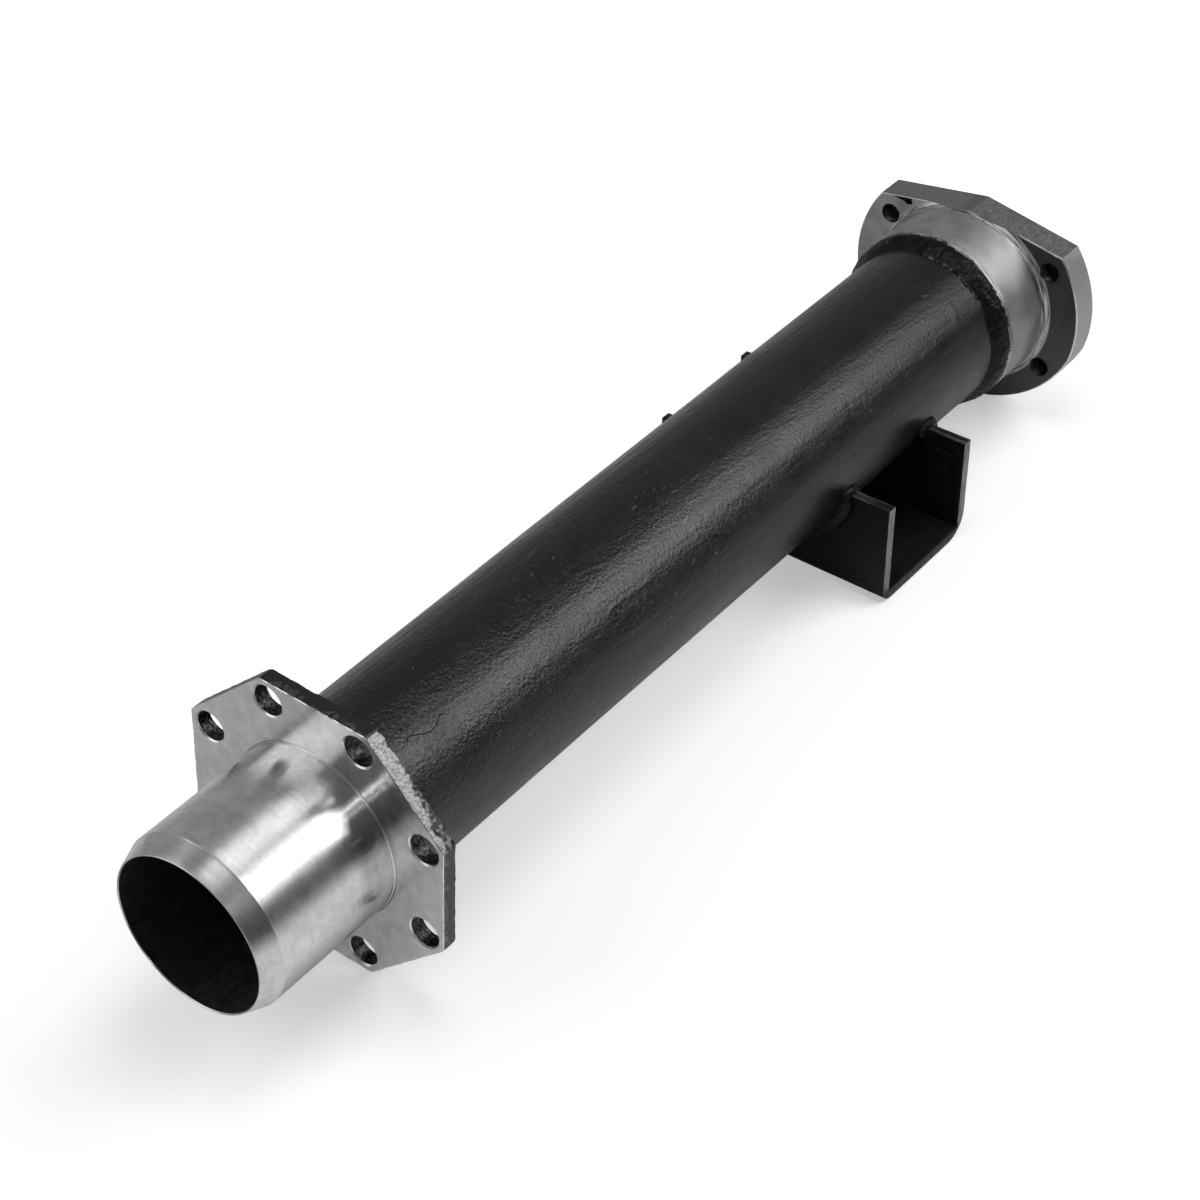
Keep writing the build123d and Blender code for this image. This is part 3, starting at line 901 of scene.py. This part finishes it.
def buildBracket():
    p = bracketParts
    t, x0, x1, z0, z1 = p["thickness"], p["innerFace"], p["outerFace"], p["base"], p["top"]
    near, far, inside, half = p["nearBend"], p["farBend"], p["insideBend"], p["halfLength"]
    section = [(x0, z1)]
    section += cornerArc(x0 + near, z0 + near, near, 180, 270, 9)
    section += cornerArc(x1 - far, z0 + far, far, 270, 360, 12)
    section += [(x1, z1), (x1 - t, z1)]
    section += cornerArc(x1 - t - inside, z0 + t + inside, inside, 360, 270, 4)
    section += cornerArc(x0 + t + inside, z0 + t + inside, inside, 270, 180, 4)
    section += [(x0 + t, z1)]
    verts = []
    for y in np.linspace(-half, half, p["rows"]):
        drop = p["farTipDrop"] * (y + half) / (2 * half)
        verts += [(x, y, z - drop if z > z1 - 0.1 else z) for x, z in section]
    faces = gridFaces(p["rows"], len(section), flip=True, caps=True)
    piece = makeObject("saddleBracket", verts, faces, [bracketPaint, bareEnd])
    ring = circle(0, 0, p["saddleRadius"], 160)
    cutWith(piece, solid("saddleCutter", (x0 - 20, ring), (x1 + 20, ring)))
    rounding = piece.modifiers.new("edges", "BEVEL")
    rounding.width, rounding.segments, rounding.limit_method = p["edgeRound"] * mm, 2, "ANGLE"
    rounding.angle_limit = math.radians(50)
    applyModifiers(piece)
    points = vertexArray(piece)
    for axis, inset in enumerate((0.0, p["endInset"], 0.0)):
        uneven = p["unevenness"] * layeredNoise(points, 22, 2, 50 + axis)
        points[:, axis] += uneven - inset * np.sign(points[:, 1])
    points[:, 1] = np.clip(points[:, 1], -half, half)
    setVertices(piece, points)
    for polygon in piece.data.polygons:
        atEnd = abs(polygon.normal.y) > 0.95 and abs(abs(polygon.center.y) / mm - half) < 0.4
        polygon.material_index = 1 if atEnd else 0
    smooth(piece.data, 35)
    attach(piece, "root")
    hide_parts("saddle_bracket")


buildBracket()
print("saddle bracket built")


# Welds

weldParts = {
    "voxel": 0.5, "randomness": 0.14, "unevenness": 0.09,
    "collar": {"tube": 410.9, "wall": 420.0, "rise": 4.08, "columns": 460, "rows": 22, "crown": 0.35,
               "lumps": 0.46, "grain": 0.26, "ripple": 0.10, "pitch": 1.5, "toe": 1.0, "bulge": 1.7},
    "plate": {"tube": 13.0, "wall": 6.95, "rise": 5.7, "columns": 460, "rows": 22, "crown": 0.35,
              "lumps": 0.25, "grain": 0.08, "ripple": 0.12, "pitch": 1.9, "toe": 0.6, "bulge": 1.15},
    "leg": {"radius": 39.7, "across": 4.3, "deep": 3.7, "along": 5.0, "spacing": 3.1, "offset": 1.2,
            "short": 7.0,
            # where the weld turns over the leg's top: along the tube, up, and half sizes
            "crown": ((0.6, -0.6, (6.4, 3.4, 2.7)), (3.4, -2.6, (4.4, 3.8, 3.4)),
                      (-2.6, -2.0, (4.2, 3.4, 2.8)))},
}


def bandWeld(name, p, replacedNode, seed):
    # a bead laid round the tube, from its surface up the wall beside it
    tube, wall, angles = p["tube"], p["wall"], turns(p["columns"])
    base = tubeParts["outsideRadius"] - tubeParts["paintInset"]
    direction = math.copysign(1, wall - tube)
    path = around(5.0, base, angles)
    toe = p["toe"] * (0.6 * layeredNoise(path, 9, 2, seed) + 0.4 * layeredNoise(path, 2.4, 2, seed + 3))
    rows = []
    for s in np.linspace(0, 1, p["rows"]):
        x = tube + direction * toe * (1 - s) + s * (wall - tube)
        rise = p["rise"] * (1 - (1 - s) ** p["bulge"]) + p["crown"] * math.sin(math.pi * s)
        at = around(x, base, angles)
        inner = math.sin(math.pi * min(s, 0.96)) ** 0.5 if s > 0 else 0
        wander = 2 * layeredNoise(at, 14, 1, seed + 9)
        relief = p["ripple"] * np.sin(2 * math.pi * base * angles / p["pitch"] - 2.6 * s + wander)
        relief += p["lumps"] * layeredNoise(at, 4.5, 2, seed + 5)
        relief += p["grain"] * layeredNoise(at, 1.4, 2, seed + 7)
        rows.append(around(x, base + rise + inner * relief, angles))
    # the bottom of the bead, hidden in the tube and the wall
    hidden = ((wall + direction * 0.3, base + 0.6 * p["rise"]), (wall, base - 0.6), (tube, base - 0.6))
    rows += [around(x, radius, angles) for x, radius in hidden]
    faces = gridFaces(len(rows), p["columns"], flip=direction < 0, ring=True)
    piece = makeObject(name, np.concatenate(rows), faces, [weldPaint], sharpAngle=60)
    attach(piece, "root")
    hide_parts(replacedNode)


def ballMesh(steps=7, rings=12):
    verts, faces = [(0, 0, 1.0)], []
    for a in (math.pi * i / steps for i in range(1, steps)):
        for b in (2 * math.pi * j / rings for j in range(rings)):
            verts.append((math.sin(a) * math.cos(b), math.sin(a) * math.sin(b), math.cos(a)))
    verts.append((0, 0, -1.0))
    low = len(verts) - 1
    for j in range(rings):
        after = (j + 1) % rings
        faces += [(0, 1 + j, 1 + after), (low, low - rings + after, low - rings + j)]
    return np.array(verts), faces + gridFaces(steps - 1, rings, 1, flip=True)


def buildWeld(name, puddles, replacedNode):
    # each puddle is (centre, direction along the seam, direction outward, half sizes along, across and deep)
    ball, ballFaces = ballMesh()
    verts, faces = [], []
    for centre, along, outward, sizes in puddles:
        along = np.array(along) / np.linalg.norm(along)
        outward = np.array(outward) / np.linalg.norm(outward)
        base = len(verts) * len(ball)
        verts.append(centre + ball * np.array(sizes) @ np.array([along, np.cross(along, outward), outward]))
        faces += [tuple(base + v for v in face) for face in ballFaces]
    piece = makeObject(name, np.concatenate(verts), faces, [weldPaint])
    fuse = piece.modifiers.new("fuse", "REMESH")
    fuse.mode, fuse.voxel_size = "VOXEL", weldParts["voxel"] * mm
    soften = piece.modifiers.new("soften", "SMOOTH")
    soften.factor, soften.iterations = 0.5, 6
    applyModifiers(piece)
    points = vertexArray(piece)
    for axis in range(3):
        points[:, axis] += weldParts["unevenness"] * layeredNoise(points, 2.6, 2, 70 + axis)
    setVertices(piece, points)
    piece.data.shade_smooth()
    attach(piece, "root")
    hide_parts(replacedNode)


def legPuddles(faceX, outward, seed):
    chance = np.random.RandomState(seed)
    p, values, radius = bracketParts, weldParts["leg"], tubeParts["outsideRadius"]
    puddles = []
    topAngle = math.degrees(math.asin(p["top"] / radius))
    startAngle, endAngle = 180 - topAngle + values["short"], 360 + topAngle - values["short"]
    count = int(math.radians(endAngle - startAngle) * values["radius"] / values["spacing"])
    for k in range(count + 1):
        a = math.radians(startAngle + (endAngle - startAngle) * k / count)
        radial = np.array([0, math.cos(a), math.sin(a)])
        wobble = 1 + weldParts["randomness"] * chance.uniform(-1, 1)
        centre = radial * values["radius"] + (faceX + outward * values["offset"], 0, 0)
        sizes = (values["along"], values["across"] * wobble, values["deep"] * 0.9)
        puddles.append((centre, (0, -math.sin(a), math.cos(a)), radial * 0.75 + (outward, 0, 0), sizes))
    # the weld turns over the top of the leg on both sides
    legX = faceX - outward * p["thickness"] / 2
    for side in (-1, 1):
        topY = side * math.sqrt(radius ** 2 - p["top"] ** 2)
        for dx, dz, sizes in values["crown"]:
            puddles.append(((legX + outward * dx, topY, p["top"] + dz), (1, 0, 0), (0, side, -0.19), sizes))
    return puddles


bandWeld("collarWeld", weldParts["collar"], "outer_flange_weld", 5)
bandWeld("plateWeld", weldParts["plate"], "inner_flange_weld", 6)
buildWeld("nearLegWeld", legPuddles(bracketParts["innerFace"], -1, 7), "inner_leg_weld")
buildWeld("farLegWeld", legPuddles(bracketParts["outerFace"], 1, 8), "outer_leg_weld")
print("welds built")


# Floor, light and camera, in metres

studio = {
    "floorHeight": -0.0610, "floorSlope": 0.0107, "floorReach": 6.0, "floorNear": 0.84, "floorFar": 0.60,
    "whitenNear": 0.41, "whitenFar": 0.62, "brightRadius": (0.22, 0.60), "whitenBehind": 0.12,
    "behindReach": (0.0, 0.09),
    # places on the floor that glow only for reflections, a painted light that shiny steel sees a little
    # brighter: (place, from, to, strength)
    "glints": (((0.02, -0.30, -0.06), 0.12, 0.26, 0.30), ((-0.03, -0.06, -0.06), 0.03, 0.12, 0.22)),
    "horizonLeft": 0.36, "horizonRight": 0.06, "horizonReach": (-0.85, 0.35),
    "zenith": 0.18, "zenithReach": (0.0, 0.9),
    # panels: place, size, brightness and which way their first side lies
    "panels": {
        "keyPanel": ((1.0, -0.91, 1.03), (0.8, 0.98), 4.6, (0, 0, 1)),
        "topPanel": ((0.22, -0.10, 1.30), (0.6, 0.55), 4.2, (0, 0, 1)),
        "fillPanel": ((-0.85, 0.90, 0.80), (1.4, 1.2), 1.2, (0, 0, 1)),
        "stripA": ((-0.82, -0.87, 0.98), (0.50, 0.040), 9.5, (1, 0, 0)),
        "stripB": ((-0.82, -0.99, 0.85), (0.50, 0.020), 7.0, (1, 0, 0)),
    },
    "centre": (0.2, 0.0, 0.0),
    # the photo's camera: its place, and the directions of its right, up and back
    "lens": 87.184, "sensor": 36.0, "camera": (-0.553041, -0.543854, 0.731382),
    "cameraAxes": ((0.601726, -0.798699, 0.002350), (0.502079, 0.380542, 0.776598),
                   (-0.621162, -0.466119, 0.629993)),
}


def buildFloor():
    p = studio
    reach, away = p["floorReach"], p["brightRadius"]
    mesh = bpy.data.meshes.new("studioFloor")
    corners = [(-reach, -reach), (reach, -reach), (reach, reach), (-reach, reach)]
    mesh.from_pydata([(x, y, p["floorHeight"] + p["floorSlope"] * x) for x, y in corners], [], [(0, 1, 2, 3)])
    floor = bpy.data.objects.new("studioFloor", mesh)
    scene.collection.objects.link(floor)
    material, tree, spot = startMaterial("floorPaper")
    tree.nodes.remove(tree.nodes["Principled BSDF"])
    rays = place(tree, "LightPath").outputs
    distance = vectorMaths("DISTANCE", spot, p["centre"])
    colour = mix(remap(distance, *away), grey(p["floorNear"]), grey(p["floorFar"]))
    whiten = remap(distance, *away, p["whitenNear"], p["whitenFar"])
    behind = remap(split(spot)[1], *p["behindReach"], 0.0, p["whitenBehind"])
    seen = times(rays["Is Camera Ray"], maths("ADD", whiten, behind))
    # the glints are painted light: a glow on the floor that only reflections see
    mirrored = 0.0
    for centre, inner, outer, level in p["glints"]:
        glint = remap(vectorMaths("DISTANCE", spot, centre), inner, outer, level, 0.0)
        mirrored = maths("ADD", glint, mirrored)
    strength = maths("ADD", seen, times(rays["Is Glossy Ray"], mirrored))
    paper = place(tree, "BsdfDiffuse", Color=colour).outputs[0]
    glow = place(tree, "Emission", Color=(1, 1, 1, 1), Strength=strength).outputs[0]
    both = place(tree, "AddShader", paper, glow).outputs[0]
    tree.links.new(both, tree.nodes["Material Output"].inputs["Surface"])
    mesh.materials.append(material)


def buildWorld():
    world = bpy.data.worlds.new("studioWorld")
    scene.world = world
    world.use_nodes = True
    tree = world.node_tree
    background = tree.nodes["Background"].inputs
    y, z = split(place(tree, "TexCoord").outputs["Generated"])[1:]
    horizon = remap(y, *studio["horizonReach"], studio["horizonRight"], studio["horizonLeft"])
    strength = mix(remap(z, *studio["zenithReach"]), horizon, studio["zenith"], "FLOAT")
    seen = place(tree, "LightPath").outputs["Is Camera Ray"]
    feed(background["Color"], (1, 1, 1, 1))
    feed(background["Strength"], maths("MAXIMUM", strength, seen))


def stand(data, spot, axes):
    # axes are the directions of the object's own x, y and z
    thing = bpy.data.objects.new(data.name, data)
    scene.collection.objects.link(thing)
    thing.matrix_world = Matrix.Translation(spot) @ Matrix(axes).transposed().to_4x4()
    return thing


def areaLamp(name, spot, size, radiance, side):
    data = bpy.data.lights.new(name, "AREA")
    data.shape = "RECTANGLE"
    data.size, data.size_y = size
    data.energy = radiance * math.pi * size[0] * size[1]
    back = (Vector(spot) - Vector(studio["centre"])).normalized()
    second = back.cross(Vector(side)).normalized()
    stand(data, spot, (second.cross(back), second, back))


def buildCamera():
    data = bpy.data.cameras.new("photoCamera")
    data.sensor_width, data.sensor_fit, data.lens = studio["sensor"], "AUTO", studio["lens"]
    data.clip_start, data.clip_end = 0.05, 50
    scene.camera = stand(data, studio["camera"], studio["cameraAxes"])


buildFloor()
buildWorld()
for name, panel in studio["panels"].items():
    areaLamp(name, *panel)
buildCamera()
print("studio ready")
